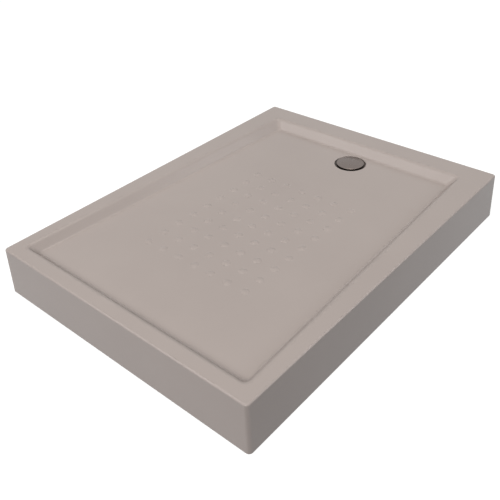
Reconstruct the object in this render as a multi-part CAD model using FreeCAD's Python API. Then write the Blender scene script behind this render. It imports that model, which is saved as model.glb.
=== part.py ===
"""Rectangular shower tray with a moulded apron, on a steel frame with levelling feet, and its trapped waste.

Millimetres. The origin is the centre of the footprint at floor level, +X points at the waste end and +Z up.
The tray is an acrylic skin backed with glass fibre. A board is bonded under its floor, and a welded
frame of square tube is screwed to the board. Six studs turn in nuts under the frame and stand in feet.
"""

import FreeCAD
import Part

import math
import os

Vector = FreeCAD.Vector
UP = Vector(0, 0, 1)
DOWN = Vector(0, 0, -1)

# Tray, over the foot of its apron
tray_length = 1200.0
tray_width = 900.0
tray_height = 150.0  # floor to rim, with the feet wound right in
floor_gap = 4.0  # floor to the lower edge of the apron
apron_draft = 2.6  # degrees, the apron spreads towards its foot
corner_radius = 11.0  # upright corners of the apron
rim_edge_radius = 5.0
shell_wall = 4.0

# Basin: the rim is narrow at the plain end and wide at the waste end
plain_end_rim = 44.0
waste_end_rim = 80.0
side_rim_at_plain_end = 39.5
side_rim_at_waste_end = 82.5
basin_depth = 25.0  # at the plain end
basin_fall = 0.003  # drop of the floor per unit of length, towards the waste
basin_wall_draft = 40.0  # degrees from upright, for a wall that lies back
basin_corner_radius = 20.0
basin_lip_radius = 14.0  # rim to wall
basin_foot_radius = 10.0  # wall to floor

# Grip bumps, on a square grid in the middle of the floor
bump_columns = 9
bump_rows = 7
bump_pitch = 60.0
bump_radius = 12.0
bump_height = 2.2
bump_root = 1.5  # how far a bump's foot reaches into the skin
last_bump_to_waste = 246.0

# Backing and board
backing_wall = 3.0
backing_foot_height = 40.0  # the backing on the apron ends this far above the floor
board_thickness = 12.0
board_inset = 30.0  # from the basin's edge at the rim, so that the board lies on the flat
board_hole_margin = 0.5
board_past_hole = 12.0

# Battens bonded inside the foot of the apron
batten_height = 30.0
batten_depth = 18.0
batten_lift = 2.0  # above the apron's lower edge
batten_corner_gap = 36.0

# Frame
tube_size = 25.0
tube_wall = 1.5
tube_corner_radius = 2.5
rail_side_inset = 150.0  # middle of a rail to the foot of the apron
rail_end_inset = 60.0
cross_member_count = 3
first_cross_member_inset = 100.0  # from the plain end of the rails
cross_member_to_bend = 27.5  # clear space between the last one and the outlet bend
cap_flange = 3.0
cap_plug_length = 12.0
cap_plug_wall = 2.0
cap_clearance = 0.15
screw_radius = 2.4
screw_head_radius = 5.0
screw_head_height = 3.0
screw_hole_clearance = 0.2
screw_grip = 9.0  # length of thread in the board
screws_per_rail = 4
screw_end_inset = 165.0  # from the ends of the rails

# Levelling feet
feet_per_rail = 3
foot_end_inset = 40.0  # from the ends of the rails
stud_radius = 5.0
stud_running_clearance = 0.05
stud_hole_clearance = 0.6
stud_end_chamfer = 1.0
stud_headroom = 1.5  # stud to the top wall of the rail
nut_flats = 17.0
nut_chamfer = 0.8  # how far the chamfer cuts in at the corners' ends
weld_nut_height = 8.0
lock_nut_height = 6.0
spanner_flats = 14.0
spanner_height = 8.0
foot_radius = 22.0
foot_base_height = 7.0
foot_edge_chamfer = 1.5
foot_boss_radius = 12.0
foot_height = 22.0
foot_socket_floor = 5.0

# Waste, on a vertical axis
waste_setback = 172.0  # from the foot of the apron at the waste end
waste_y = -15.0  # off the middle line, towards the front
waste_hole_radius = 45.0
seat_radius = 52.0
seat_depth = 7.0
seat_lip_radius = 1.5
flange_radius = 51.0
flange_thickness = 2.5
flange_bore_radius = 31.0
seal_clearance = 0.2
upper_seal_thickness = 1.5
lower_seal_thickness = 3.0
flange_screw_circle = 38.5
flange_screw_count = 3
flange_screw_radius = 2.0
flange_screw_head_radius = 3.8
flange_screw_head_height = 1.6
flange_screw_length = 18.0
flange_screw_boss_radius = 4.5
flange_screw_clearance = 0.2
collar_radius = 57.0
collar_thickness = 4.0
neck_clearance = 0.5
trap_radius = 48.0
trap_wall = 3.0
trap_floor_clearance = 12.0

# Dip tube, its ring and the cover on its stem
tube_clearance = 0.4
dip_tube_wall = 2.4
dip_tube_lip_radius = 33.2
dip_tube_lip_height = 1.2
dip_tube_lip_clearance = 0.3
dip_tube_floor_clearance = 6.0
ring_radius = 1.6
ring_groove_depth = 1.2
ring_squeeze_clearance = 0.05
ring_below_lip = 0.75  # the ring lies low in the flange's bore: top of the ring under the lip's ledge
cover_radius = 45.0
cover_lift = 0.7  # lower edge of the cover above the tray floor
cover_edge_height = 2.2
cover_crown = 3.2
cover_edge_wall = 2.5
cover_plate = 1.0
stem_fin_count = 4
stem_fin_thickness = 2.4
stem_clearance = 0.6
stem_length = 16.0
stem_shoulder_radius = 32.4
stem_bore_radius = 4.0
stem_hub_radius = 6.5

# Outlet towards the plain end, with a bend
outlet_nut_headroom = 1.8  # ribs of the outlet nut to the board
pipe_radius = 20.0
pipe_wall = 2.2
pipe_socket_clearance = 0.1
spigot_wall = 3.9
spigot_length = 36.0
spigot_socket_depth = 25.0
spigot_bore_radius = 17.8
outlet_seal_length = 6.0
outlet_seal_radius = 23.6
outlet_nut_radius = 29.0
outlet_nut_rib = 2.2
outlet_nut_rib_width = 4.0
outlet_nut_ribs = 12
outlet_nut_overlap = 22.0
outlet_nut_end_wall = 6.0
outlet_nut_end_clearance = 0.3
nut_thread_clearance = 0.1
bend_entry_gap = 2.0
bend_straight = 16.0  # nut to the start of the bend
bend_radius = 34.0
bend_arm = 16.0
bend_socket_wall = 4.9
bend_socket_depth = 30.0
bend_socket_shoulder = 5.0
bend_seal_radius = 2.2
bend_seal_inset = 10.0
bend_seal_clearance = 0.1

# Worked out from the driving sizes
draft_slope = math.tan(math.radians(apron_draft))
wall_slope = math.tan(math.radians(basin_wall_draft))
wall_lean = math.cos(math.radians(basin_wall_draft))
rim_half_length = tray_length / 2 - (tray_height - floor_gap) * draft_slope
rim_half_width = tray_width / 2 - (tray_height - floor_gap) * draft_slope
basin_plain_x = plain_end_rim - rim_half_length
basin_waste_x = rim_half_length - waste_end_rim
waste_x = tray_length / 2 - waste_setback
basin_outline = [
    (basin_plain_x, side_rim_at_plain_end - rim_half_width),
    (basin_waste_x, side_rim_at_waste_end - rim_half_width),
    (basin_waste_x, rim_half_width - side_rim_at_waste_end),
    (basin_plain_x, rim_half_width - side_rim_at_plain_end),
]


def floor_height(x):
    """Height of the basin floor at x."""
    return tray_height - basin_depth - basin_fall * (x - basin_plain_x)


waste_floor = floor_height(waste_x)
seat_height = waste_floor - seat_depth
backing_underside = floor_height(basin_waste_x) - shell_wall - backing_wall
board_underside = backing_underside - board_thickness
rail_underside = board_underside - tube_size
rail_half_length = tray_length / 2 - rail_end_inset
rail_spacing = tray_width - 2 * rail_side_inset
seat_underside = seat_height - shell_wall - backing_wall
flange_underside = seat_height + upper_seal_thickness
flange_top = flange_underside + flange_thickness
ledge_height = flange_top - dip_tube_lip_height
collar_top = seat_underside - lower_seal_thickness
collar_underside = collar_top - collar_thickness
dip_tube_radius = flange_bore_radius - tube_clearance
dip_tube_bore = dip_tube_radius - dip_tube_wall
cover_underside = waste_floor + cover_lift
cover_plate_underside = cover_underside + cover_edge_height - cover_plate
spigot_radius = pipe_radius + pipe_socket_clearance + spigot_wall
spigot_end_x = waste_x - trap_radius + trap_wall - spigot_length
outlet_nut_end_x = spigot_end_x - outlet_seal_length - outlet_nut_end_wall
bend_start_x = outlet_nut_end_x - bend_straight
bend_axis_x = bend_start_x - bend_radius
bend_socket_radius = pipe_radius + pipe_socket_clearance + bend_socket_wall
outlet_height = board_underside - outlet_nut_headroom - outlet_nut_radius - outlet_nut_rib


def evenly(first, last, count):
    """Evenly spaced places from the first to the last."""
    return [first + (last - first) * k / (count - 1) for k in range(count)]


def along_rails(end_inset, count):
    """Evenly spaced spots on the middle line of both rails."""
    xs = evenly(end_inset - rail_half_length, rail_half_length - end_inset, count)
    return [(x, side * rail_spacing / 2) for side in (-1, 1) for x in xs]


foot_spots = along_rails(foot_end_inset, feet_per_rail)
screw_spots = along_rails(screw_end_inset, screws_per_rail)
cross_member_xs = evenly(
    first_cross_member_inset - rail_half_length,
    bend_axis_x - bend_socket_radius - cross_member_to_bend - tube_size / 2,
    cross_member_count,
)


# Helpers


def box(low, high):
    """A box between its lowest and highest corner."""
    size = [b - a for a, b in zip(low, high)]
    return Part.makeBox(size[0], size[1], size[2], Vector(*low))


def cylinder(radius, bottom, top, x=0.0, y=0.0):
    """An upright cylinder."""
    return Part.makeCylinder(radius, top - bottom, Vector(x, y, bottom), UP)


def ring(outer, inner, bottom, top, x=0.0, y=0.0):
    """An upright ring of square section."""
    return cylinder(outer, bottom, top, x, y).cut(cylinder(inner, bottom - 1, top + 1, x, y))


def hexagon_nut(flats, bottom, top, x, y):
    """An upright hexagonal prism, measured across its flats, with its corners chamfered at both ends."""
    reach = flats / math.sqrt(3)
    turns = [math.radians(60 * k) for k in range(7)]
    points = [Vector(x + reach * math.cos(t), y + reach * math.sin(t), bottom) for t in turns]
    prism = Part.Face(Part.makePolygon(points)).extrude(Vector(0, 0, top - bottom))
    face_radius = flats / 2 * 0.97
    profile = [
        (0, bottom),
        (face_radius, bottom),
        (reach, bottom + nut_chamfer),
        (reach, top - nut_chamfer),
        (face_radius, top),
        (0, top),
    ]
    return prism.common(lathe(profile, x, y))


def lathe(profile, x=0.0, y=0.0):
    """A solid turned about an upright axis, from a closed list of radius and height."""
    points = [Vector(r, 0, z) for r, z in profile]
    face = Part.Face(Part.makePolygon(points + points[:1]))
    solid = face.revolve(Vector(0, 0, 0), UP, 360)
    solid.translate(Vector(x, y, 0))
    return solid


def block(low_corners, high_corners, low, high):
    """A flat-sided solid between two four-cornered outlines. low and high give the height at each x."""
    bottom = [Vector(x, y, low(x)) for x, y in low_corners]
    top = [Vector(x, y, high(x)) for x, y in high_corners]
    faces = [Part.Face(Part.makePolygon(top + top[:1]))]
    faces.append(Part.Face(Part.makePolygon(bottom[:1] + bottom[::-1])))
    for k in range(4):
        n = (k + 1) % 4
        side = [bottom[k], bottom[n], top[n], top[k], bottom[k]]
        faces.append(Part.Face(Part.makePolygon(side)))
    return Part.makeSolid(Part.makeShell(faces))


def square_tube(low, high, axis, through):
    """A square tube with rounded corners along one axis. Its bore runs past its ends if it goes through."""
    outer = box(low, high)
    bore_low = [a + (0 if k == axis else tube_wall) for k, a in enumerate(low)]
    bore_high = [b - (0 if k == axis else tube_wall) for k, b in enumerate(high)]
    bore_low[axis] -= through
    bore_high[axis] += through

    def runs_along(bounds):
        lengths = (bounds.XLength, bounds.YLength, bounds.ZLength)
        return all(length < 1e-3 for k, length in enumerate(lengths) if k != axis)

    outer = rounded(outer, tube_corner_radius, runs_along)
    bore = rounded(box(bore_low, bore_high), tube_corner_radius - tube_wall, runs_along)
    return outer.cut(bore)


def level(height):
    """The same height everywhere."""
    return lambda x: height


def rectangle(half_length, half_width):
    """Corners of a centred rectangle, counterclockwise."""
    return [
        (-half_length, -half_width),
        (half_length, -half_width),
        (half_length, half_width),
        (-half_length, half_width),
    ]


def spread(corners, distance):
    """A counterclockwise outline with every side moved outwards by the distance."""
    moved = []
    for k, (x, y) in enumerate(corners):
        before = corners[k - 1]
        after = corners[(k + 1) % len(corners)]
        ax, ay = unit(before, (x, y))
        bx, by = unit((x, y), after)
        share = distance / (1 + ax * bx + ay * by)
        moved.append((x + share * (ay + by), y - share * (ax + bx)))
    return moved


def unit(start, end):
    """Direction from one point to another in plan."""
    dx, dy = end[0] - start[0], end[1] - start[1]
    length = math.hypot(dx, dy)
    return dx / length, dy / length


def rounded(solid, radius, chosen):
    """The solid with the chosen edges rounded."""
    edges = [edge for edge in solid.Edges if chosen(edge.BoundBox)]
    return solid.makeFillet(radius, edges)


def rises(bounds):
    """Whether an edge climbs: the upright edges of a block."""
    return bounds.ZLength > 10


def lies_at(height):
    """A test for level edges at one height."""
    return lambda bounds: abs(bounds.ZMin - height) < 1e-3 and abs(bounds.ZMax - height) < 1e-3


# Tray skin, backing, board and battens


def apron_block(inset, foot):
    """The tray's outer form, moved in by the inset, from the foot height up to its top."""
    top = tray_height - inset

    def outline(height):
        lean = (height - floor_gap) * draft_slope + inset
        return rectangle(tray_length / 2 - lean, tray_width / 2 - lean)

    solid = block(outline(foot), outline(top), level(foot), level(top))
    return rounded(solid, corner_radius - inset, rises)


def basin(inset, level_floor=None):
    """The space in the basin, with its walls and floor moved out by the inset, and the waste seat in it."""
    above = tray_height + 10
    below = floor_height(basin_waste_x) - 30

    def outline(height):
        run = (tray_height - height) * wall_slope
        return spread(basin_outline, inset / wall_lean - run)

    def sloping_floor(x):
        return floor_height(x) - inset

    walls = block(outline(below), outline(above), level(below), level(above))
    bed = sloping_floor if level_floor is None else level(level_floor)
    reach = rectangle(tray_length, tray_width)
    space = walls.cut(block(reach, reach, level(below - 10), bed))
    space = rounded(space, basin_corner_radius + inset, rises)
    floor_edges = [
        edge
        for edge in space.Edges
        if all(abs(v.Z - bed(v.X)) < 1e-3 for v in edge.Vertexes)
    ]
    space = space.makeFillet(basin_foot_radius + inset, floor_edges)
    seat_low = seat_height - inset
    seat = cylinder(seat_radius + inset, seat_low, waste_floor + 1, waste_x, waste_y)
    return space.fuse(seat)


def tray_form(inset, foot, level_floor=None):
    """The tray as a solid block with its basin, every surface moved in by the inset."""
    top = tray_height - inset
    solid = apron_block(inset, foot)
    solid = rounded(solid, max(rim_edge_radius - inset, 0.5), lies_at(top))
    solid = solid.cut(basin(inset, level_floor))
    inside = rim_half_length - min(plain_end_rim, waste_end_rim) / 2

    def basin_lip(bounds):
        return lies_at(top)(bounds) and max(abs(bounds.XMin), abs(bounds.XMax)) < inside

    def seat_lip(bounds):
        wide = abs(bounds.XLength - 2 * (seat_radius + inset)) < 0.1
        return wide and bounds.ZMin > seat_height - inset + seat_depth / 2

    solid = rounded(solid, max(basin_lip_radius - inset, 0.5), basin_lip)
    if inset < seat_lip_radius:
        solid = rounded(solid, seat_lip_radius - inset, seat_lip)
    return solid


def grip_bumps():
    """The bumps, each turned from its section, with a root that reaches into the skin."""
    sphere = (bump_radius**2 + bump_height**2) / (2 * bump_height)
    foot = bump_radius + 0.5
    foot_drop = sphere - bump_height - math.sqrt(sphere**2 - foot**2)
    middle = foot / 2
    middle_drop = sphere - bump_height - math.sqrt(sphere**2 - middle**2)
    crown = Part.Arc(
        Vector(0, 0, bump_height), Vector(middle, 0, -middle_drop), Vector(foot, 0, -foot_drop)
    ).toShape()
    corners = [Vector(foot, 0, -foot_drop), Vector(foot, 0, -bump_root), Vector(0, 0, -bump_root)]
    rest = Part.makePolygon(corners + [Vector(0, 0, bump_height)])
    one = Part.Face(Part.Wire([crown] + rest.Edges)).revolve(Vector(0, 0, 0), UP, 360)
    last_x = waste_x - last_bump_to_waste
    bumps = []
    for column in range(bump_columns):
        x = last_x - column * bump_pitch
        for row in range(bump_rows):
            y = (row - (bump_rows - 1) / 2) * bump_pitch
            bump = one.copy()
            bump.translate(Vector(x, y, floor_height(x)))
            bumps.append(bump)
    return bumps


def tray_shell():
    """Acrylic skin: rim, basin and apron in one moulding, with the grip bumps and the waste hole."""
    skin = tray_form(0.0, floor_gap).cut(tray_form(shell_wall, floor_gap - 10))
    hole = cylinder(waste_hole_radius, seat_height - 20, seat_height + 20, waste_x, waste_y)
    return skin.cut(hole).fuse(grip_bumps()).removeSplitter()


def glassfibre_backing():
    """Glass fibre and resin under the skin. Its underside is level, so that the board beds flat."""
    foot = backing_foot_height
    outside = tray_form(shell_wall, foot)
    inside = tray_form(shell_wall + backing_wall, foot - 10, backing_underside)
    hole = cylinder(waste_hole_radius, seat_height - 20, seat_height + 20, waste_x, waste_y)
    return outside.cut(inside).cut(hole)


def floor_board():
    """Chipboard under the basin floor, with a hole for the waste and pilot holes for the frame screws."""
    low_y = basin_outline[1][1] + board_inset
    hole_radius = seat_radius + shell_wall + backing_wall + board_hole_margin
    high_x = max(waste_x + hole_radius + board_past_hole, basin_waste_x - board_inset)
    low = (basin_plain_x + board_inset, low_y, board_underside)
    board = box(low, (high_x, -low_y, backing_underside))
    hole_low, hole_high = board_underside - 1, backing_underside + 1
    board = board.cut(cylinder(hole_radius, hole_low, hole_high, waste_x, waste_y))
    for x, y in screw_spots:
        pilot = cylinder(screw_radius, board_underside - 1, board_underside + screw_grip, x, y)
        board = board.cut(pilot)
    return board


def batten(low, high):
    """A strip trimmed to the leaning inside face of the apron."""
    foot = floor_gap + batten_lift
    strip = box((low[0], low[1], foot), (high[0], high[1], foot + batten_height))
    return strip.common(apron_block(shell_wall, floor_gap - 10))


def battens():
    """Four battens: front, rear, plain end and waste end."""
    reach_x, reach_y = tray_length / 2, tray_width / 2
    inner_x = reach_x - shell_wall - batten_depth
    inner_y = reach_y - shell_wall - batten_depth
    long_end = inner_x - batten_corner_gap / 2
    short_end = inner_y - batten_corner_gap
    return {
        "front_batten": batten((-long_end, -reach_y), (long_end, -inner_y)),
        "rear_batten": batten((-long_end, inner_y), (long_end, reach_y)),
        "plain_end_batten": batten((-reach_x, -short_end), (-inner_x, short_end)),
        "waste_end_batten": batten((inner_x, -short_end), (reach_x, short_end)),
    }


# Frame


def rail(side):
    """A long tube with clearance holes for its studs and screws."""
    y = side * rail_spacing / 2
    half = tube_size / 2
    low = (-rail_half_length, y - half, rail_underside)
    tube = square_tube(low, (rail_half_length, y + half, board_underside), 0, 1)
    for x, spot_y in foot_spots:
        if spot_y == y:
            hole_top = rail_underside + tube_wall + 1
            hole = stud_radius + stud_hole_clearance
            tube = tube.cut(cylinder(hole, rail_underside - 1, hole_top, x, y))
    for x, spot_y in screw_spots:
        if spot_y == y:
            hole = screw_radius + screw_hole_clearance
            tube = tube.cut(cylinder(hole, rail_underside - 1, board_underside + 1, x, y))
    return tube


def cross_member(number):
    """A short tube welded between the rails."""
    x = cross_member_xs[number]
    half = tube_size / 2
    reach = rail_spacing / 2 - half
    return square_tube((x - half, -reach, rail_underside), (x + half, reach, board_underside), 1, 1)


def rail_end_caps():
    """Hollow plastic plugs in the four rail ends."""
    caps = []
    middle = rail_underside + tube_size / 2
    plug_half = tube_size / 2 - tube_wall - cap_clearance
    hollow_half = plug_half - cap_plug_wall
    for end in (-1, 1):
        for side in (-1, 1):
            y = side * rail_spacing / 2
            face, outside = end * rail_half_length, end * (rail_half_length + cap_flange)
            inside = end * (rail_half_length - cap_plug_length)
            flange_low = (min(face, outside), y - tube_size / 2, rail_underside)
            flange_high = (max(face, outside), y + tube_size / 2, board_underside)
            plug_low = (min(face, inside), y - plug_half, middle - plug_half)
            plug_high = (max(face, inside), y + plug_half, middle + plug_half)
            hollow_low = (min(face, inside) - 0.1, y - hollow_half, middle - hollow_half)
            hollow_high = (max(face, inside) + 0.1, y + hollow_half, middle + hollow_half)
            plug = box(plug_low, plug_high).cut(box(hollow_low, hollow_high))
            caps.append(box(flange_low, flange_high).fuse(plug).removeSplitter())
    return Part.makeCompound(caps)


def frame_screws():
    """Screws through both walls of the rails into the board."""
    screws = []
    for x, y in screw_spots:
        head = cylinder(screw_head_radius, rail_underside - screw_head_height, rail_underside, x, y)
        shank = cylinder(screw_radius, rail_underside, board_underside + screw_grip, x, y)
        screws.append(head.fuse(shank).removeSplitter())
    return Part.makeCompound(screws)


# Levelling feet


def nuts_under_rail(top, height):
    """One bored nut at each foot, hanging from the given height."""
    bore = stud_radius + stud_running_clearance
    return Part.makeCompound(
        [
            hexagon_nut(nut_flats, top - height, top, x, y).cut(
                cylinder(bore, top - height - 1, top + 1, x, y)
            )
            for x, y in foot_spots
        ]
    )


def leg_stud(x, y):
    """Stud with a spanner hexagon. Its lower end turns in the foot, and its upper end in the rail's nuts."""
    top = board_underside - tube_wall - stud_headroom
    shaft = cylinder(stud_radius, foot_socket_floor, top, x, y)
    ends = [edge for edge in shaft.Edges if isinstance(edge.Curve, Part.Circle)]
    shaft = shaft.makeChamfer(stud_end_chamfer, ends)
    hexagon = hexagon_nut(spanner_flats, foot_height, foot_height + spanner_height, x, y)
    return shaft.fuse(hexagon).removeSplitter()


def leg_foot(x, y):
    """Plastic foot with a blind socket for the stud's end."""
    bore = stud_radius + stud_running_clearance
    chamfer_start = foot_base_height - foot_edge_chamfer
    profile = [
        (0, 0),
        (foot_radius, 0),
        (foot_radius, chamfer_start),
        (foot_radius - foot_edge_chamfer, foot_base_height),
        (foot_boss_radius + foot_edge_chamfer, foot_base_height),
        (foot_boss_radius, foot_base_height + 2 * foot_edge_chamfer),
        (foot_boss_radius, foot_height),
        (bore, foot_height),
        (bore, foot_socket_floor),
        (0, foot_socket_floor),
    ]
    return lathe(profile, x, y)


# Waste


def flange_screw_spots():
    """Plan positions of the flange screws, the first at the side."""
    turns = [math.radians(90 + 360 / flange_screw_count * k) for k in range(flange_screw_count)]
    circle = flange_screw_circle
    return [(waste_x + circle * math.cos(t), circle * math.sin(t)) for t in turns]


def waste_flange():
    """Clamping ring in the seat, with a ledge for the dip tube and countersunk screw holes."""
    ledge_radius = dip_tube_lip_radius + dip_tube_lip_clearance
    profile = [
        (flange_bore_radius, flange_underside),
        (flange_radius, flange_underside),
        (flange_radius, flange_top),
        (ledge_radius, flange_top),
        (ledge_radius, ledge_height),
        (flange_bore_radius, ledge_height),
    ]
    flange = lathe(profile, waste_x)
    for x, y in flange_screw_spots():
        shank = flange_screw_radius + flange_screw_clearance
        flange = flange.cut(cylinder(shank, flange_underside - 1, flange_top + 1, x, y))
        flange = flange.cut(flange_screw_head(x, y, flange_screw_clearance))
    return flange


def flange_screw_head(x, y, clearance):
    """Countersunk head, grown by the clearance."""
    cone_top = flange_screw_head_radius + clearance
    cone_foot = flange_screw_radius + clearance
    start = Vector(x, y, flange_top - flange_screw_head_height)
    return Part.makeCone(cone_foot, cone_top, flange_screw_head_height, start, UP)


def flange_screws():
    """Countersunk screws that draw the trap body up to the flange."""
    screws = []
    for x, y in flange_screw_spots():
        shank_top = flange_top - flange_screw_head_height
        shank = cylinder(flange_screw_radius, flange_top - flange_screw_length, shank_top, x, y)
        screws.append(shank.fuse(flange_screw_head(x, y, 0.0)).removeSplitter())
    return Part.makeCompound(screws)


def trap_body():
    """Cup of the trap: collar under the tray, neck through the hole, and the outlet spigot."""
    bottom = trap_floor_clearance
    inner = trap_radius - trap_wall
    neck_outer = waste_hole_radius - neck_clearance
    neck_inner = neck_outer - trap_wall
    body = cylinder(trap_radius, bottom, collar_underside, waste_x)
    body = body.fuse(cylinder(collar_radius, collar_underside, collar_top, waste_x))
    body = body.fuse(cylinder(neck_outer, collar_top, flange_underside, waste_x))
    start = Vector(waste_x - inner, 0, outlet_height)
    spigot = Part.makeCylinder(spigot_radius, spigot_length, start, Vector(-1, 0, 0))
    body = body.fuse(spigot)
    body = body.cut(cylinder(inner, bottom + trap_wall, collar_underside, waste_x))
    body = body.cut(cylinder(neck_inner, collar_underside - 1, flange_underside + 1, waste_x))
    bosses = []
    for x, y in flange_screw_spots():
        foot = flange_underside - flange_screw_length - 2
        boss = cylinder(flange_screw_boss_radius, foot, flange_underside, x, y)
        bosses.append(boss.common(cylinder(neck_outer, foot, flange_underside, waste_x)))
    body = body.fuse(bosses)
    for x, y in flange_screw_spots():
        pilot_foot = flange_top - flange_screw_length
        body = body.cut(cylinder(flange_screw_radius, pilot_foot, flange_underside + 1, x, y))
    way_out = Part.makeCylinder(
        spigot_bore_radius, spigot_length + 20, start + Vector(10, 0, 0), Vector(-1, 0, 0)
    )
    socket = Part.makeCylinder(
        pipe_radius + pipe_socket_clearance,
        spigot_socket_depth + 1,
        Vector(spigot_end_x - 1, 0, outlet_height),
        Vector(1, 0, 0),
    )
    return body.cut(way_out).cut(socket).removeSplitter()


def ring_middle_height():
    """Height of the dip tube ring's middle."""
    return ledge_height - ring_below_lip - ring_radius


def dip_tube():
    """Lift-out tube that makes the water seal, with a lip on the flange and a groove for its ring."""
    bottom = trap_floor_clearance + trap_wall + dip_tube_floor_clearance
    middle = ring_middle_height()
    groove = dip_tube_radius - ring_groove_depth
    profile = [
        (dip_tube_bore, bottom),
        (dip_tube_radius, bottom),
        (dip_tube_radius, middle - ring_radius),
        (groove, middle - ring_radius),
        (groove, middle + ring_radius),
        (dip_tube_radius, middle + ring_radius),
        (dip_tube_radius, ledge_height),
        (dip_tube_lip_radius, ledge_height),
        (dip_tube_lip_radius, flange_top),
        (dip_tube_bore, flange_top),
    ]
    return lathe(profile, waste_x)


def dip_tube_ring():
    """Rubber ring in the tube's groove, flattened where it meets the groove's floor."""
    outer = flange_bore_radius - ring_squeeze_clearance
    centre = Vector(waste_x, 0, ring_middle_height())
    round_ring = Part.makeTorus(outer - ring_radius, ring_radius, centre, UP)
    groove = dip_tube_radius - ring_groove_depth
    return round_ring.cut(cylinder(groove, centre.z - 10, centre.z + 10, waste_x))


def waste_cover():
    """Domed cap with a turned-down edge."""
    edge_top = cover_underside + cover_edge_height
    crown_top = edge_top + cover_crown
    inner = cover_radius - cover_edge_wall
    corner = 0.8
    sphere = (cover_radius**2 + cover_crown**2) / (2 * cover_crown)
    middle = cover_radius / 2
    middle_z = crown_top - sphere + math.sqrt(sphere**2 - middle**2)
    edge_z = edge_top - corner / 2
    crown = Part.Arc(
        Vector(0, 0, crown_top), Vector(middle, 0, middle_z), Vector(cover_radius - corner, 0, edge_top)
    ).toShape()
    corners = [
        Vector(cover_radius - corner, 0, edge_top),
        Vector(cover_radius, 0, edge_z),
        Vector(cover_radius, 0, cover_underside),
        Vector(inner, 0, cover_underside),
        Vector(inner, 0, cover_plate_underside),
        Vector(0, 0, cover_plate_underside),
        Vector(0, 0, crown_top),
    ]
    outline = Part.Wire([crown] + Part.makePolygon(corners).Edges)
    cap = Part.Face(outline).revolve(Vector(0, 0, 0), UP, 360)
    cap.translate(Vector(waste_x, 0, 0))
    return cap


def cover_stem():
    """Finned stem under the cover. Its shoulders stand on the dip tube's lip."""
    fin_radius = dip_tube_bore - stem_clearance
    bottom = flange_top - stem_length
    half = stem_fin_thickness / 2
    stem = cylinder(stem_hub_radius, bottom, cover_plate_underside, waste_x)
    for k in range(stem_fin_count):
        fin = box((0, -half, bottom), (fin_radius, half, flange_top))
        shoulder = box((0, -half, flange_top), (stem_shoulder_radius, half, cover_plate_underside))
        fin = fin.fuse(shoulder)
        fin.rotate(Vector(0, 0, 0), UP, 45 + 360 / stem_fin_count * k)
        fin.translate(Vector(waste_x, 0, 0))
        stem = stem.fuse(fin)
    bore = cylinder(stem_bore_radius, bottom - 1, cover_plate_underside - 1, waste_x)
    return stem.cut(bore).removeSplitter()


# Outlet


def along_outlet(outer, inner, start_x, end_x):
    """A tube on the outlet's axis, from one x to a higher one."""
    start = Vector(start_x, 0, outlet_height)
    along = Vector(1, 0, 0)
    tube = Part.makeCylinder(outer, end_x - start_x, start, along)
    bore = Part.makeCylinder(inner, end_x - start_x + 2, start - along, along)
    return tube.cut(bore)


def outlet_seal():
    """Rubber ring squeezed between the spigot and the nut."""
    start = spigot_end_x - outlet_seal_length
    return along_outlet(outlet_seal_radius, pipe_radius + pipe_socket_clearance, start, spigot_end_x)


def outlet_nut():
    """Ribbed hand nut over the spigot's end."""
    end = outlet_nut_end_x
    shoulder = end + outlet_nut_end_wall
    mouth = spigot_end_x + outlet_nut_overlap
    ribs = []
    for k in range(outlet_nut_ribs):
        half = outlet_nut_rib_width / 2
        low = (end, -half, outlet_nut_radius - 1)
        high = (mouth, half, outlet_nut_radius + outlet_nut_rib)
        rib = box(low, high)
        rib.rotate(Vector(0, 0, 0), Vector(1, 0, 0), 360 / outlet_nut_ribs * k)
        rib.translate(Vector(0, 0, outlet_height))
        ribs.append(rib)
    thread = spigot_radius + nut_thread_clearance
    grip = along_outlet(outlet_nut_radius, thread, shoulder, mouth)
    end_wall = along_outlet(outlet_nut_radius, pipe_radius + outlet_nut_end_clearance, end, shoulder)
    return grip.fuse([end_wall] + ribs).removeSplitter()


def bend_run(radius):
    """The bend's line as a solid rod of one radius: inlet, quarter turn and arm."""
    inlet_end = spigot_end_x + spigot_socket_depth - bend_entry_gap
    start = Vector(bend_start_x, 0, outlet_height)
    inlet = Part.makeCylinder(radius, inlet_end - bend_start_x, start, Vector(1, 0, 0))
    centre = Vector(bend_start_x, bend_radius, outlet_height)
    quarter = Part.makeTorus(bend_radius, radius, centre, UP, 0, 360, 90)
    quarter.rotate(centre, UP, 180)
    arm_start = Vector(bend_start_x - bend_radius, bend_radius, outlet_height)
    arm = Part.makeCylinder(radius, bend_arm, arm_start, Vector(0, 1, 0))
    return inlet.fuse([quarter, arm])


def outlet_bend():
    """Plain-ended bend with a socket for the waste pipe."""
    socket_start = Vector(bend_axis_x, bend_radius + bend_arm, outlet_height)
    along = Vector(0, 1, 0)
    bore = pipe_radius + pipe_socket_clearance
    depth = bend_socket_shoulder + bend_socket_depth
    socket = Part.makeCylinder(bend_socket_radius, depth, socket_start, along)
    pipe_space = Part.makeCylinder(bore, depth, socket_start + along * bend_socket_shoulder, along)
    water = pipe_radius - pipe_wall
    water_way = Part.makeCylinder(water, depth, socket_start - along, along)
    past_inlet = along_outlet(water, 0.01, bend_start_x, spigot_end_x + spigot_socket_depth + 5)
    bend = bend_run(pipe_radius).fuse(socket)
    for space in (bend_run(water), past_inlet, water_way, pipe_space):
        bend = bend.cut(space)
    return bend.cut(bend_seal_ring(0.0)).removeSplitter()


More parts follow.
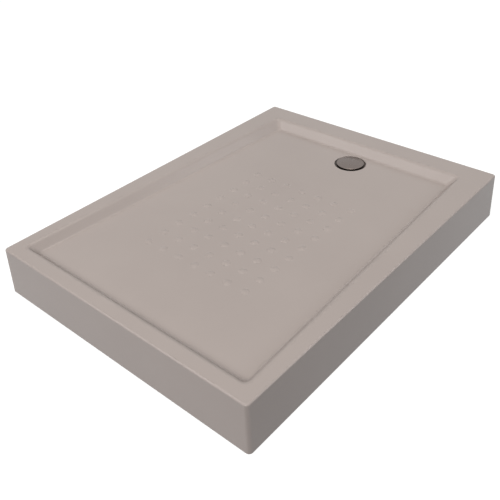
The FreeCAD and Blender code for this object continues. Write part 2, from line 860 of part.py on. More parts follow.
def bend_seal_ring(clearance):
    """Space of the lip seal in the socket's wall, or the seal itself with a clearance from the pipe."""
    bore = pipe_radius + pipe_socket_clearance
    mouth = bend_radius + bend_arm + bend_socket_shoulder + bend_socket_depth
    centre = Vector(bend_axis_x, mouth - bend_seal_inset, outlet_height)
    seal = Part.makeTorus(bore + bend_seal_radius / 2, bend_seal_radius, centre, Vector(0, 1, 0))
    inner = Part.makeCylinder(
        bore + clearance, 10 * bend_seal_radius, centre - Vector(0, 5 * bend_seal_radius, 0), Vector(0, 1, 0)
    )
    return seal.cut(inner)


def bend_seal():
    """Rubber lip seal in the bend's socket."""
    return bend_seal_ring(bend_seal_clearance)


def waste_and_outlet():
    """The waste and its outlet. They are drawn on the middle line, then moved to the drain's place."""
    made = {
        "waste_flange": waste_flange(),
        "flange_screws": flange_screws(),
        "upper_seal": ring(
            flange_radius, waste_hole_radius + seal_clearance, seat_height, flange_underside, waste_x
        ),
        "lower_seal": ring(
            collar_radius, waste_hole_radius + seal_clearance, collar_top, seat_underside, waste_x
        ),
        "trap_body": trap_body(),
        "dip_tube": dip_tube(),
        "dip_tube_ring": dip_tube_ring(),
        "waste_cover": waste_cover(),
        "cover_stem": cover_stem(),
        "outlet_seal": outlet_seal(),
        "outlet_nut": outlet_nut(),
        "outlet_bend": outlet_bend(),
        "bend_seal": bend_seal(),
    }
    for shape in made.values():
        shape.translate(Vector(0, waste_y, 0))
    return made


def parts():
    """Every sub-part under its own name."""
    made = {
        "tray_shell": tray_shell(),
        "glassfibre_backing": glassfibre_backing(),
        "floor_board": floor_board(),
        "front_rail": rail(-1),
        "rear_rail": rail(1),
        "rail_end_caps": rail_end_caps(),
        "frame_screws": frame_screws(),
        "weld_nuts": nuts_under_rail(rail_underside, weld_nut_height),
        "lock_nuts": nuts_under_rail(rail_underside - weld_nut_height, lock_nut_height),
    }
    made.update(waste_and_outlet())
    made.update(battens())
    for number in range(cross_member_count):
        made[f"cross_member_{number + 1}"] = cross_member(number)
    for number, (x, y) in enumerate(foot_spots):
        made[f"leg_stud_{number + 1}"] = leg_stud(x, y)
        made[f"leg_foot_{number + 1}"] = leg_foot(x, y)
    return made


os.makedirs("parts", exist_ok=True)
for name, shape in parts().items():
    shape.exportStep(f"parts/{name}.step")
    print(name, len(shape.Solids), "solid(s)", round(shape.Volume / 1000, 1), "cm3")
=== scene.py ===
import bmesh
import bpy
import math
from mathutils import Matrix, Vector


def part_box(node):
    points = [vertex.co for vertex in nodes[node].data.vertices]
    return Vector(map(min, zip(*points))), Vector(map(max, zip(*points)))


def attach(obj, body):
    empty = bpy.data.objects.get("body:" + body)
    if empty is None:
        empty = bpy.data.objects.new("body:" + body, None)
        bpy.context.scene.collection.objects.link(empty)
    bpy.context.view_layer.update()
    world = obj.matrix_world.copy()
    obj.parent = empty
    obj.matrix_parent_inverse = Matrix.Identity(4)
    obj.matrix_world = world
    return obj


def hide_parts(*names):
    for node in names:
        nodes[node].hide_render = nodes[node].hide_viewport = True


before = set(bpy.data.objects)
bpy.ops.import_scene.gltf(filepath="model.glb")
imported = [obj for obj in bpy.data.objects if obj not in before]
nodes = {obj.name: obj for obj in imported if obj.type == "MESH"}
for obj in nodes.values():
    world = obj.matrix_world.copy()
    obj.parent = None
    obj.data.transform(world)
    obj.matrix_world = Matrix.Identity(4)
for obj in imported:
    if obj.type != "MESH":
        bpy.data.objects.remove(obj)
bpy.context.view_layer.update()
bpy.ops.object.select_all(action="DESELECT")


# The viewpoint: 1.2 m up, beyond the corner between the plain end and the front, looking down over the
# tray through a slightly long lens.
eye_place = (-1.234, -1.050, 1.180)
eye_turns = (54.034, 2.028, -49.351)  # degrees
lens_length = 47.05  # mm
film_width = 36.0  # mm
bpy.ops.object.camera_add(location=eye_place, rotation=[math.radians(turn) for turn in eye_turns])
camera = bpy.context.object
camera.data.lens = lens_length
camera.data.sensor_width = film_width
bpy.context.scene.camera = camera
bpy.context.scene.view_settings.view_transform = "Standard"


# The studio floor: a white sweep. The eye, gloss and glass see it white with the tray's soft shadow on it,
# and the light that it throws back on the tray is that of a dark grey card.
sweep_size = 40.0
sweep_glow = 0.86
sweep_shade = (0.25, 0.25, 0.25, 1.0)  # the share that takes the lamps' light, and so the shadow
card_grey = (0.08, 0.08, 0.085, 1.0)
plain_white = (1.0, 1.0, 1.0, 1.0)


def seen_directly(tree):
    """One for rays from the eye, from gloss and through glass, and nought for the rest."""
    path = tree.nodes.new("ShaderNodeLightPath")
    eye_or_gloss = tree.nodes.new("ShaderNodeMath")
    eye_or_gloss.operation = "MAXIMUM"
    any_of_three = tree.nodes.new("ShaderNodeMath")
    any_of_three.operation = "MAXIMUM"
    tree.links.new(path.outputs["Is Camera Ray"], eye_or_gloss.inputs[0])
    tree.links.new(path.outputs["Is Glossy Ray"], eye_or_gloss.inputs[1])
    tree.links.new(eye_or_gloss.outputs[0], any_of_three.inputs[0])
    tree.links.new(path.outputs["Is Transmission Ray"], any_of_three.inputs[1])
    return any_of_three.outputs[0]


def light_and_look(tree, light, look, output_kind):
    """Use one shader for the light that is thrown on the tray, and another for what is seen directly."""
    choice = tree.nodes.new("ShaderNodeMixShader")
    surface = tree.nodes.new(output_kind)
    tree.links.new(seen_directly(tree), choice.inputs[0])
    tree.links.new(light.outputs[0], choice.inputs[1])
    tree.links.new(look.outputs[0], choice.inputs[2])
    tree.links.new(choice.outputs[0], surface.inputs["Surface"])


bpy.ops.mesh.primitive_plane_add(size=sweep_size, location=(0.0, 0.0, 0.0))
sweep = bpy.context.object
sweep.name = "studio_floor"
sweep_white = bpy.data.materials.new("white_sweep")
sweep_white.use_nodes = True
tree = sweep_white.node_tree
tree.nodes.clear()
glow = tree.nodes.new("ShaderNodeEmission")
glow.inputs["Color"].default_value = plain_white
glow.inputs["Strength"].default_value = sweep_glow
shaded = tree.nodes.new("ShaderNodeBsdfDiffuse")
shaded.inputs["Color"].default_value = sweep_shade
paper = tree.nodes.new("ShaderNodeAddShader")
tree.links.new(glow.outputs[0], paper.inputs[0])
tree.links.new(shaded.outputs[0], paper.inputs[1])
card = tree.nodes.new("ShaderNodeBsdfDiffuse")
card.inputs["Color"].default_value = card_grey
light_and_look(tree, card, paper, "ShaderNodeOutputMaterial")
sweep.data.materials.append(sweep_white)


# The backdrop: plain white where it is seen directly, and a dim cool sky for the little light that it
# throws on the tray.
sky_strength = 0.05
sky_tone = (0.94, 0.97, 1.0, 1.0)
world = bpy.data.worlds.new("white_backdrop")
bpy.context.scene.world = world
world.use_nodes = True
tree = world.node_tree
tree.nodes.clear()
dim_sky = tree.nodes.new("ShaderNodeBackground")
dim_sky.inputs["Color"].default_value = sky_tone
dim_sky.inputs["Strength"].default_value = sky_strength
white_sky = tree.nodes.new("ShaderNodeBackground")
white_sky.inputs["Color"].default_value = plain_white
white_sky.inputs["Strength"].default_value = 1.0
light_and_look(tree, dim_sky, white_sky, "ShaderNodeOutputWorld")


# The lamps: four large soft boxes. The key stands beyond the plain end and a little to the front, one
# fills in from behind that end, one from the front by the waste, and one hangs over the tray.
lamp_distance = 8.3
lamp_size = 3.6
lamps = {  # direction from the tray, watts and tint
    "key_box": ((-0.725, -0.270, 0.635), 462.0, (1.0, 0.975, 0.965)),
    "rear_box": ((-0.500, 0.480, 0.721), 205.0, (1.0, 0.98, 0.985)),
    "front_box": ((0.560, -0.700, 0.445), 200.0, (0.97, 0.975, 1.0)),
    "top_box": ((0.150, 0.050, 0.987), 175.0, (1.0, 0.94, 0.86)),
}
for name, (direction, watts, tint) in lamps.items():
    towards = Vector(direction).normalized()
    bpy.ops.object.light_add(type="AREA", location=towards * lamp_distance)
    soft_box = bpy.context.object
    soft_box.name = name
    soft_box.data.shape = "SQUARE"
    soft_box.data.size = lamp_size
    soft_box.data.energy = watts
    soft_box.data.color = tint
    soft_box.rotation_euler = towards.to_track_quat("Z", "Y").to_euler()


# The tray's skin: cast acrylic sheet, warm pale grey, drawn over a mould in one piece, so the rim, basin,
# bumps and apron have no seam. Gloss, with the faint orange peel that forming leaves.
skin_tone = (0.392, 0.346, 0.324)
skin_light_tone = (0.406, 0.359, 0.336)
skin_ior = 1.49
skin_shine = 0.15


def shader_of(finish):
    """The one surface shader of a finish."""
    return finish.node_tree.nodes["Principled BSDF"]


def new_finish(name, tone, roughness, metallic=0.0):
    """A finish with its plain colour, roughness and metal on the shader itself."""
    finish = bpy.data.materials.new(name)
    finish.use_nodes = True
    shader = shader_of(finish)
    shader.inputs["Base Color"].default_value = (*tone, 1.0)
    shader.inputs["Roughness"].default_value = roughness
    shader.inputs["Metallic"].default_value = metallic
    return finish


def pattern(finish, kind, per_metre, stretch=(1.0, 1.0, 1.0), turn=(0.0, 0.0, 0.0)):
    """A texture laid through the piece on its own coordinates, with so many features to the metre."""
    tree = finish.node_tree
    place = tree.nodes.new("ShaderNodeTexCoord")
    laid = tree.nodes.new("ShaderNodeMapping")
    laid.inputs["Scale"].default_value = stretch
    laid.inputs["Rotation"].default_value = turn
    texture = tree.nodes.new(kind)
    texture.inputs["Scale"].default_value = per_metre
    tree.links.new(place.outputs["Object"], laid.inputs["Vector"])
    tree.links.new(laid.outputs["Vector"], texture.inputs["Vector"])
    return texture


def noise(finish, per_metre, detail=2.0, stretch=(1.0, 1.0, 1.0), turn=(0.0, 0.0, 0.0)):
    """The value of a noise pattern."""
    texture = pattern(finish, "ShaderNodeTexNoise", per_metre, stretch, turn)
    texture.inputs["Detail"].default_value = detail
    return texture.outputs[0]


def tones(finish, value, stops):
    """Colours picked from a row of stops by a pattern's value."""
    ramp = finish.node_tree.nodes.new("ShaderNodeValToRGB")
    finish.node_tree.links.new(value, ramp.inputs["Fac"])
    steps = ramp.color_ramp.elements
    while len(steps) < len(stops):
        steps.new(0.5)
    for step, (position, tone) in zip(steps, stops):
        step.position = position
        step.color = (*tone, 1.0)
    return ramp.outputs["Color"]


def colour_by(finish, value, stops):
    """Colour the finish by a pattern's value."""
    finish.node_tree.links.new(tones(finish, value, stops), shader_of(finish).inputs["Base Color"])


def roughen_by(finish, value, low, high):
    """Vary the roughness between two numbers by a pattern's value."""
    spread = finish.node_tree.nodes.new("ShaderNodeMapRange")
    spread.inputs["To Min"].default_value = low
    spread.inputs["To Max"].default_value = high
    finish.node_tree.links.new(value, spread.inputs["Value"])
    finish.node_tree.links.new(spread.outputs["Result"], shader_of(finish).inputs["Roughness"])


def relief(finish, value, depth, strength=1.0):
    """Raise the surface by a pattern, to a depth in metres, over any relief that is already there."""
    normal = shader_of(finish).inputs["Normal"]
    bump = finish.node_tree.nodes.new("ShaderNodeBump")
    bump.inputs["Strength"].default_value = strength
    bump.inputs["Distance"].default_value = depth
    finish.node_tree.links.new(value, bump.inputs["Height"])
    if normal.is_linked:
        finish.node_tree.links.new(normal.links[0].from_socket, bump.inputs["Normal"])
    finish.node_tree.links.new(bump.outputs["Normal"], normal)


def give(finish, *names):
    """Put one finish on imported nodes."""
    for name in names:
        nodes[name].data.materials.clear()
        nodes[name].data.materials.append(finish)


acrylic = new_finish("gloss_acrylic", skin_tone, roughness=0.3)
shader_of(acrylic).inputs["IOR"].default_value = skin_ior
shader_of(acrylic).inputs["Specular IOR Level"].default_value = skin_shine
cloud = noise(acrylic, per_metre=3.5, detail=4.0)
colour_by(acrylic, cloud, [(0.35, skin_tone), (0.65, skin_light_tone)])
haze = noise(acrylic, per_metre=38.0, detail=6.0)
roughen_by(acrylic, haze, low=0.12, high=0.22)
relief(acrylic, noise(acrylic, per_metre=260.0), depth=0.00008)
give(acrylic, "tray_shell")


# The backing: chopped glass strands and resin, sprayed on the back of the skin and rolled down by hand.
# Straw-coloured and half clear, rough to the touch, with pale strands lying every way.
resin_stops = [(0.30, (0.36, 0.34, 0.19)), (0.52, (0.47, 0.45, 0.29)), (0.72, (0.56, 0.54, 0.40))]
strand_tone = (0.66, 0.65, 0.54, 1.0)
strand_stretch = (1.0, 14.0, 14.0)
strand_turns = ((0.2, 0.1, 0.5), (0.4, 0.3, 1.7), (1.3, 0.5, 2.6))  # radians
strand_share_stops = [(0.60, (0.0, 0.0, 0.0)), (0.68, (1.0, 1.0, 1.0))]
mix_share, mix_under, mix_over, mix_result = 0, 6, 7, 2  # the mix node's colour sockets, by number
glassfibre = new_finish("glass_fibre_and_resin", (0.42, 0.40, 0.24), roughness=0.55)
shades = noise(glassfibre, per_metre=14.0, detail=5.0)
coat = tones(glassfibre, shades, resin_stops)
for strand_turn in strand_turns:
    strands = noise(glassfibre, per_metre=60.0, stretch=strand_stretch, turn=strand_turn)
    overlay = glassfibre.node_tree.nodes.new("ShaderNodeMix")
    overlay.data_type = "RGBA"
    overlay.inputs[mix_over].default_value = strand_tone
    strand_share = tones(glassfibre, strands, strand_share_stops)
    glassfibre.node_tree.links.new(strand_share, overlay.inputs[mix_share])
    glassfibre.node_tree.links.new(coat, overlay.inputs[mix_under])
    coat = overlay.outputs[mix_result]
    relief(glassfibre, strands, depth=0.0009, strength=0.7)
glassfibre.node_tree.links.new(coat, shader_of(glassfibre).inputs["Base Color"])
roughen_by(glassfibre, shades, low=0.35, high=0.75)
give(glassfibre, "glassfibre_backing")


# The floor board: raw chipboard, glued up under the basin floor. Flakes of many browns, pressed flat, and
# rough at the sawn edges.
flake_stretch = (1.0, 0.55, 1.4)
flake_stops = [
    (0.0, (0.20, 0.115, 0.05)),
    (0.35, (0.33, 0.21, 0.10)),
    (0.7, (0.47, 0.33, 0.18)),
    (1.0, (0.58, 0.44, 0.27)),
]
chipboard = new_finish("raw_chipboard", (0.36, 0.24, 0.12), roughness=0.85)
flakes = pattern(chipboard, "ShaderNodeTexVoronoi", per_metre=210.0, stretch=flake_stretch)
colour_by(chipboard, flakes.outputs["Color"], flake_stops)
relief(chipboard, flakes.outputs["Distance"], depth=0.0004, strength=0.6)
give(chipboard, "floor_board")


# The battens: sawn softwood strips, bonded inside the foot of the apron to stiffen it. The grain runs
# along each one.
grain_stops = [(0.0, (0.60, 0.45, 0.26)), (0.7, (0.52, 0.37, 0.20)), (1.0, (0.36, 0.22, 0.10))]
fibre_fineness = 3.0  # fibres are stretched by so much more than the rings


def softwood(name, stretch):
    """Sawn softwood, with its grain along the axis that is stretched least."""
    wood = new_finish(name, (0.50, 0.36, 0.20), roughness=0.75)
    rings = pattern(wood, "ShaderNodeTexWave", per_metre=24.0, stretch=stretch)
    rings.wave_type = "RINGS"
    rings.rings_direction = "SPHERICAL"
    rings.inputs["Distortion"].default_value = 6.0
    rings.inputs["Detail"].default_value = 3.0
    rings.inputs["Detail Scale"].default_value = 1.4
    colour_by(wood, rings.outputs["Color"], grain_stops)
    fibre_stretch = tuple(fibre_fineness * share for share in stretch)
    fibres = noise(wood, per_metre=90.0, detail=5.0, stretch=fibre_stretch)
    relief(wood, fibres, depth=0.0006, strength=0.6)
    return wood


give(softwood("softwood_long", (0.10, 1.0, 1.0)), "front_batten", "rear_batten")
give(softwood("softwood_cross", (1.0, 0.10, 1.0)), "plain_end_batten", "waste_end_batten")


# Bonding paste: the board and the battens are bedded in grey-green polyester paste, and what squeezes out
# is left as a wavy bead along their edges.
bead_radius = 0.0042
bead_sides = 10
bead_step = 0.014
bead_wobble = 0.0009
bead_end_drawing = (0.45, 0.45, 1.0)  # share of its distance from the bead's middle that an end keeps
board_bead_drop = 0.0015  # below the board's upper face
batten_bead_rise = 0.0005  # above the batten
batten_bead_inset = 0.0045  # from the batten's outer face
point_slack = 1e-5
paste_stops = [(0.35, (0.29, 0.31, 0.25)), (0.65, (0.40, 0.42, 0.35))]
paste = new_finish("bonding_paste", (0.34, 0.36, 0.30), roughness=0.6)
stir = noise(paste, per_metre=70.0, detail=4.0)
colour_by(paste, stir, paste_stops)
roughen_by(paste, stir, low=0.45, high=0.75)
relief(paste, stir, depth=0.0005, strength=0.6)


def select_edges(chosen):
    """In edit mode, select the edges of the piece whose two ends pass a test."""
    bpy.ops.mesh.select_mode(type="EDGE")
    bpy.ops.mesh.select_all(action="DESELECT")
    mesh = bmesh.from_edit_mesh(bpy.context.object.data)
    for edge in mesh.edges:
        edge.select_set(chosen(edge.verts[0].co, edge.verts[1].co))
    bmesh.update_edit_mesh(bpy.context.object.data)


def select_points(chosen):
    """In edit mode, select the points of the piece that pass a test."""
    bpy.ops.mesh.select_mode(type="VERT")
    bpy.ops.mesh.select_all(action="DESELECT")
    mesh = bmesh.from_edit_mesh(bpy.context.object.data)
    for point in mesh.verts:
        point.select_set(chosen(point.co))
    mesh.select_flush_mode()
    bmesh.update_edit_mesh(bpy.context.object.data)


def settle():
    """Take the selected pieces' place, turn and scale into their meshes."""
    bpy.ops.object.transform_apply(location=True, rotation=True, scale=True)


def call(piece, name):
    """Name a piece and its mesh."""
    piece.name = name
    piece.data.name = name


def join_as(pieces, name):
    """Make one piece of several, with its place in its mesh."""
    bpy.ops.object.select_all(action="DESELECT")
    for piece in pieces:
        piece.select_set(True)
    bpy.context.view_layer.objects.active = pieces[0]
    bpy.ops.object.join()
    settle()
    call(pieces[0], name)
    bpy.ops.object.select_all(action="DESELECT")
    return pieces[0]


def paste_bead(start, end, seed):
    """A wavy bead from one point to another."""
    along = Vector(end) - Vector(start)
    half = along.length / 2
    bpy.ops.mesh.primitive_cylinder_add(
        vertices=bead_sides,
        radius=bead_radius,
        depth=along.length,
        location=(Vector(start) + Vector(end)) / 2,
        rotation=along.to_track_quat("Z", "Y").to_euler(),
    )
    bead = bpy.context.object
    bpy.ops.object.mode_set(mode="EDIT")
    select_edges(lambda a, b: abs(a.z - b.z) > half)
    bpy.ops.mesh.subdivide(number_cuts=round(along.length / bead_step))
    select_points(lambda point: abs(abs(point.z) - half) < point_slack)
    bpy.ops.transform.resize(value=bead_end_drawing)
    bpy.ops.mesh.select_all(action="SELECT")
    bpy.ops.transform.vertex_random(offset=bead_wobble, seed=seed)
    bpy.ops.object.mode_set(mode="OBJECT")
    bpy.ops.object.shade_smooth()
    return bead


board_low, board_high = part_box("floor_board")
board_bead_height = board_high[2] - board_bead_drop
bead_runs = []
for side_y in (board_low[1], board_high[1]):
    bead_runs.append([(x, side_y, board_bead_height) for x in (board_low[0], board_high[0])])
for end_x in (board_low[0], board_high[0]):
    bead_runs.append([(end_x, y, board_bead_height) for y in (board_low[1], board_high[1])])
for name in ("front_batten", "rear_batten", "plain_end_batten", "waste_end_batten"):
    low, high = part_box(name)
    bead_height = high[2] + batten_bead_rise
    runs_lengthwise = high[0] - low[0] > high[1] - low[1]
    across = 1 if runs_lengthwise else 0
    edge = max(low[across], high[across], key=abs)
    edge -= math.copysign(batten_bead_inset, edge)
    if runs_lengthwise:
        bead_runs.append([(x, edge, bead_height) for x in (low[0], high[0])])
    else:
        bead_runs.append([(edge, y, bead_height) for y in (low[1], high[1])])
beads = [paste_bead(start, end, seed) for seed, (start, end) in enumerate(bead_runs)]
bonding = join_as(beads, "bonding_beads")
bonding.data.materials.append(paste)
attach(bonding, "tray")


# The frame: two rails and three cross members of square steel tube, hot galvanised, welded together and
# screwed to the board.
spangle_stops = [(0.0, (0.33, 0.34, 0.36)), (0.5, (0.44, 0.45, 0.47)), (1.0, (0.58, 0.59, 0.60))]
galvanised = new_finish("galvanised_tube", (0.42, 0.43, 0.44), roughness=0.45, metallic=1.0)
spangle = pattern(galvanised, "ShaderNodeTexVoronoi", per_metre=85.0)
colour_by(galvanised, spangle.outputs["Color"], spangle_stops)
roughen_by(galvanised, spangle.outputs["Color"], low=0.34, high=0.58)
cross_members = [f"cross_member_{number}" for number in (1, 2, 3)]
give(galvanised, "front_rail", "rear_rail", *cross_members)


# The welds: one rippled bead up each side of every cross member, where it meets the rails. Brushed with
# zinc paint afterwards, so duller than the tube.
weld_radius = 0.0023
weld_root = 0.0018
weld_ripple = 0.0016
weld_sides = 12
weld_clear = 0.002  # the bead stops this far short of the tube's corners
weld_stand_off = 0.0006  # of the bead's middle, outside the cross member and in from its end
weld_paint = new_finish("zinc_painted_weld", (0.30, 0.31, 0.32), roughness=0.6, metallic=0.6)
brushing = noise(weld_paint, per_metre=240.0, detail=4.0)
roughen_by(weld_paint, brushing, low=0.5, high=0.75)
relief(weld_paint, brushing, depth=0.0002, strength=0.6)


def ridged_rod(x, y, low, high, radius, root, pitch, sides):
    """An upright rod with a ridge to every pitch, for weld ripples and for threads."""
    ridges = round((high - low) / pitch)
    half = (high - low) / 2
    step = half / ridges
    waist = (root / radius, root / radius, 1.0)
    bpy.ops.mesh.primitive_cylinder_add(
        vertices=sides, radius=radius, depth=high - low, location=(x, y, (low + high) / 2)
    )
    rod = bpy.context.object
    bpy.ops.object.mode_set(mode="EDIT")
    select_edges(lambda a, b: abs(a.z - b.z) > half)
    bpy.ops.mesh.subdivide(number_cuts=2 * ridges - 1)
    select_points(lambda point: round((point.z + half) / step) % 2 == 0)
    bpy.ops.transform.resize(value=waist, center_override=(x, y, 0.0))
    bpy.ops.object.mode_set(mode="OBJECT")
    settle()
    return rod


def smooth(piece, sharp_above=None):
    """Shade a piece smooth, where an angle is given apart from the edges that turn by more degrees."""
    bpy.ops.object.select_all(action="DESELECT")
    piece.select_set(True)
    bpy.context.view_layer.objects.active = piece
    if sharp_above is None:
        bpy.ops.object.shade_smooth()
    else:
        bpy.ops.object.shade_smooth_by_angle(angle=math.radians(sharp_above))
    piece.select_set(False)


welds = []
for name in cross_members:
    low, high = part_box(name)
    span = (low[2] + weld_clear, high[2] - weld_clear)
    for weld_x in (low[0] - weld_stand_off, high[0] + weld_stand_off):
        for weld_y in (low[1] + weld_stand_off, high[1] - weld_stand_off):
            weld = ridged_rod(weld_x, weld_y, *span, weld_radius, weld_root, weld_ripple, weld_sides)
            welds.append(weld)
frame_welds = join_as(welds, "frame_welds")
smooth(frame_welds)
frame_welds.data.materials.append(weld_paint)
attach(frame_welds, "tray")


# Caps in the rail ends: moulded black plastic with a fine grit on its skin. They are pushed into the tube,
# and hold by friction.
black_plastic = new_finish("black_moulded_plastic", (0.028, 0.028, 0.030), roughness=0.5)
grit = noise(black_plastic, per_metre=900.0)
relief(black_plastic, grit, depth=0.00012, strength=0.6)
roughen_by(black_plastic, grit, low=0.42, high=0.6)
give(black_plastic, "rail_end_caps")


# The weld nuts and lock nuts: steel, bright zinc plated, with the faint blue and yellow that the plating
# bath leaves. The screws and studs have the same finish.
plate_stops = [(0.3, (0.50, 0.51, 0.54)), (0.5, (0.58, 0.59, 0.60)), (0.7, (0.62, 0.60, 0.54))]
zinc = new_finish("bright_zinc_plate", (0.56, 0.57, 0.60), roughness=0.3, metallic=1.0)
plating = noise(zinc, per_metre=160.0, detail=4.0)
colour_by(zinc, plating, plate_stops)
roughen_by(zinc, plating, low=0.2, high=0.42)
leg_numbers = range(1, 7)
give(zinc, "frame_screws", "weld_nuts", "lock_nuts", *[f"leg_stud_{number}" for number in leg_numbers])


# The frame screws: pan heads with a cross recess, driven up through both walls of the rail into the board.
# Each is turned with its thread, the head's edge is rounded, and the recess is cut in.
screw_head_radius = 0.005
screw_head_height = 0.003
screw_head_sides = 40
screw_head_round = 0.0016
screw_thread = (0.0024, 0.0019, 0.0018)  # crest, root and pitch
screw_thread_sides = 16
screw_root_overlap = 0.0002  # the thread begins this far inside the head
screw_sharp_above = 35.0  # degrees
screws_per_rail = 4
recess_length = 0.0056
recess_width = 0.0013
recess_depth = 0.0018
screw_low, screw_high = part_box("frame_screws")
rail_face = screw_low[2] + screw_head_height
head_middle = rail_face - screw_head_height / 2


def change(piece, kind, **settings):
    """Add a modifier to a piece and apply it."""
    bpy.context.view_layer.objects.active = piece
    modifier = piece.modifiers.new(kind.lower(), kind)
    for key, value in settings.items():
        setattr(modifier, key, value)
    bpy.ops.object.modifier_apply(modifier=modifier.name)


def cut_or_fuse(piece, other, operation):
    """Cut a second solid from a piece, or fuse it on, and drop the second solid."""
    change(piece, "BOOLEAN", operation=operation, object=other, solver="EXACT")
    bpy.data.objects.remove(other)


def place_copy(piece, x, y):
    """A copy of a piece with its own mesh, moved sideways, its place in its mesh."""
    bpy.ops.object.select_all(action="DESELECT")
    piece.select_set(True)
    bpy.context.view_layer.objects.active = piece
    bpy.ops.object.duplicate(linked=False)
    bpy.ops.transform.translate(value=(x, y, 0.0))
    settle()
    return bpy.context.object


def block(middle, size, turn=0.0):
    """A box of a given size about its middle, turned about an upright axis."""
    bpy.ops.mesh.primitive_cube_add(size=1.0, location=middle, rotation=(0.0, 0.0, turn))
    piece = bpy.context.object
    piece.scale = size
    settle()
    return piece


bpy.ops.mesh.primitive_cylinder_add(
    vertices=screw_head_sides,
    radius=screw_head_radius,
    depth=screw_head_height,
    location=(0.0, 0.0, head_middle),
)
screw = bpy.context.object
settle()
bpy.ops.object.mode_set(mode="EDIT")
select_edges(lambda a, b: max(a.z, b.z) < head_middle)
bpy.ops.mesh.bevel(offset=screw_head_round, segments=4)
bpy.ops.object.mode_set(mode="OBJECT")
recess_middle = (0.0, 0.0, rail_face - screw_head_height)
for turn in (0.0, math.pi / 2):
    cutter = block(recess_middle, (recess_length, recess_width, 2 * recess_depth), turn)
    cut_or_fuse(screw, cutter, "DIFFERENCE")
thread_start = rail_face - screw_root_overlap
shank = ridged_rod(0.0, 0.0, thread_start, screw_high[2], *screw_thread, screw_thread_sides)
cut_or_fuse(screw, shank, "UNION")
first_x = screw_low[0] + screw_head_radius
last_x = screw_high[0] - screw_head_radius
screws = []
for screw_y in (screw_low[1] + screw_head_radius, screw_high[1] - screw_head_radius):
    for place in range(screws_per_rail):
        screw_x = first_x + (last_x - first_x) * place / (screws_per_rail - 1)
        screws.append(place_copy(screw, screw_x, screw_y))
bpy.data.objects.remove(screw)
pan_heads = join_as(screws, "pan_head_screws")
smooth(pan_heads, screw_sharp_above)
pan_heads.data.materials.append(zinc)
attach(pan_heads, "tray")
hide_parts("frame_screws")


# The studs: M10 rod with a rolled thread, plain where it turns in the foot, and a spanner hexagon near its
# lower end. One is made at the middle of the tray and copied to the six feet.
stud_radius = 0.005
stud_thread_root = 0.0043
stud_pitch = 0.0015
stud_sides = 32
stud_chamfer = 0.001
stud_sharp_above = 30.0  # degrees
hexagon_flats = 0.014
hexagon_height = 0.008
hexagon_low = 0.022
hexagon_chamfer = 0.0004
thread_sink = 0.0005  # the thread begins this far inside the hexagon
plain_overlap = 0.001  # the plain end reaches this far into the thread
stud_low, stud_high = (corner[2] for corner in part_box("leg_stud_1"))
thread_low = hexagon_low + hexagon_height - thread_sink
plain_high = thread_low + plain_overlap
bpy.ops.mesh.primitive_cylinder_add(
    vertices=stud_sides,
    radius=stud_radius,
    depth=plain_high - stud_low,
    location=(0.0, 0.0, (stud_low + plain_high) / 2),
)
stud = bpy.context.object
settle()
bpy.ops.object.mode_set(mode="EDIT")
select_edges(lambda a, b: max(a.z, b.z) < stud_low + stud_chamfer)
bpy.ops.mesh.bevel(offset=stud_chamfer, segments=1)
bpy.ops.object.mode_set(mode="OBJECT")
bpy.ops.mesh.primitive_cylinder_add(
    vertices=6,
    radius=hexagon_flats / math.sqrt(3.0),
    depth=hexagon_height,
    location=(0.0, 0.0, hexagon_low + hexagon_height / 2),
    rotation=(0.0, 0.0, math.pi / 6),
)
hexagon = bpy.context.object
settle()
change(hexagon, "BEVEL", width=hexagon_chamfer, segments=2, limit_method="ANGLE")
cut_or_fuse(stud, hexagon, "UNION")
thread = ridged_rod(
    0.0, 0.0, thread_low, stud_high, stud_radius, stud_thread_root, stud_pitch, stud_sides
)
cut_or_fuse(stud, thread, "UNION")
for number in leg_numbers:
    low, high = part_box(f"leg_stud_{number}")
    threaded = place_copy(stud, (low[0] + high[0]) / 2, (low[1] + high[1]) / 2)
    call(threaded, f"threaded_stud_{number}")
    smooth(threaded, stud_sharp_above)
    threaded.data.materials.append(zinc)
    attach(threaded, f"leg_stud_{number}")
    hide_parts(f"leg_stud_{number}")
bpy.data.objects.remove(stud)


# The feet: moulded black plastic, each with a blind socket for its stud. Eight moulded ribs run from the
# boss to the base of each, and taper off outwards.
rib_count = 8
rib_thickness = 0.002
rib_inner, rib_outer = 0.0115, 0.0195  # from the stud's axis
rib_top = 0.0185
rib_foot = 0.0065
rib_toe = 0.0015  # height that is left at the outer end
rib_chamfer = 0.0003
rib_middle = ((rib_inner + rib_outer) / 2, 0.0, (rib_foot + rib_top) / 2)
rib = block(rib_middle, (rib_outer - rib_inner, rib_thickness, rib_top - rib_foot))
bpy.ops.object.mode_set(mode="EDIT")
select_points(lambda point: point.x > rib_middle[0] and point.z > rib_middle[2])
bpy.ops.transform.translate(value=(0.0, 0.0, rib_foot + rib_toe - rib_top))
bpy.ops.object.mode_set(mode="OBJECT")
change(rib, "BEVEL", width=rib_chamfer, segments=2, limit_method="ANGLE")
ribs = [rib]
for place in range(1, rib_count):
    ribs.append(place_copy(rib, 0.0, 0.0))
    ribs[-1].rotation_euler = (0.0, 0.0, 2 * math.pi * place / rib_count)
    settle()
spider = join_as(ribs, "foot_ribs")
for number in leg_numbers:
    give(black_plastic, f"leg_foot_{number}")
    low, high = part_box(f"leg_foot_{number}")
    foot_ribs = place_copy(spider, (low[0] + high[0]) / 2, (low[1] + high[1]) / 2)
    call(foot_ribs, f"foot_ribs_{number}")
    foot_ribs.data.materials.append(black_plastic)
    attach(foot_ribs, f"leg_foot_{number}")
bpy.data.objects.remove(spider)


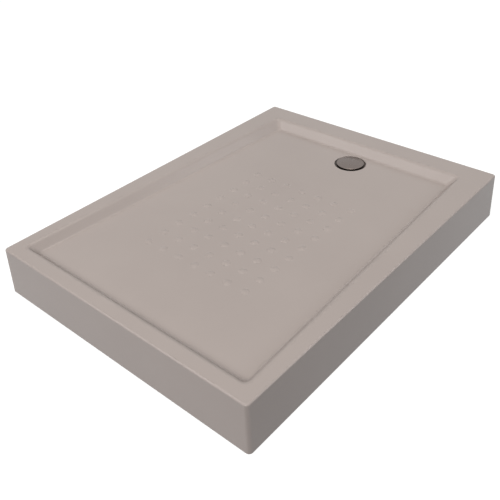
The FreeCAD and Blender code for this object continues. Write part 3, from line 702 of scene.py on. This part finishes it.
# The waste's metal: a cover with a dull nickel plate, over a pressed steel flange painted nearly black as
# painted shade for the dark gap round the cover, mottled at random. Three stainless screws hold the flange
# down.
# Painted shade: these near-black tones on the flange stand for the shade in the gap round the cover.
flange_shade_stops = [(0.35, (0.048, 0.037, 0.033)), (0.65, (0.072, 0.058, 0.052))]
nickel = new_finish("nickel_plate", (0.190, 0.160, 0.147), roughness=0.3, metallic=1.0)
smears = noise(nickel, per_metre=55.0, detail=5.0)
roughen_by(nickel, smears, low=0.22, high=0.36)
give(nickel, "waste_cover")
flange_shade_finish = new_finish("flange_painted_shade", (0.060, 0.047, 0.042), roughness=0.4, metallic=1.0)
flange_shade_mottle = noise(flange_shade_finish, per_metre=90.0, detail=5.0)
colour_by(flange_shade_finish, flange_shade_mottle, flange_shade_stops)
roughen_by(flange_shade_finish, flange_shade_mottle, low=0.32, high=0.5)
give(flange_shade_finish, "waste_flange")
stainless = new_finish("stainless_screw", (0.50, 0.49, 0.47), roughness=0.28, metallic=1.0)
turning = noise(stainless, per_metre=700.0)
roughen_by(stainless, turning, low=0.2, high=0.38)
give(stainless, "flange_screws")


# The seals: black rubber, with a grey bloom on it. Two flat rings seal the skin at the waste hole, one
# sits in the dip tube's groove, and two are in the outlet.
bloom_stops = [(0.4, (0.018, 0.018, 0.018)), (0.7, (0.045, 0.045, 0.044))]
rubber = new_finish("black_rubber", (0.022, 0.022, 0.022), roughness=0.7)
bloom = noise(rubber, per_metre=120.0, detail=5.0)
colour_by(rubber, bloom, bloom_stops)
relief(rubber, bloom, depth=0.0001, strength=0.5)
give(rubber, "upper_seal", "lower_seal", "dip_tube_ring", "outlet_seal", "bend_seal")


# The trap and the outlet: white polypropylene mouldings with a satin skin. The dip tube and the cover's
# stem are moulded in grey.
flow_stops = [(0.3, (0.57, 0.57, 0.55)), (0.7, (0.63, 0.63, 0.61))]
white_plastic = new_finish("white_moulded_plastic", (0.60, 0.60, 0.58), roughness=0.42)
relief(white_plastic, noise(white_plastic, per_metre=500.0), depth=0.0001, strength=0.5)
colour_by(white_plastic, noise(white_plastic, per_metre=18.0), flow_stops)
give(white_plastic, "trap_body", "outlet_nut", "outlet_bend")
grey_plastic = new_finish("grey_moulded_plastic", (0.15, 0.155, 0.16), roughness=0.45)
relief(grey_plastic, noise(grey_plastic, per_metre=600.0), depth=0.0001, strength=0.5)
give(grey_plastic, "dip_tube", "cover_stem")
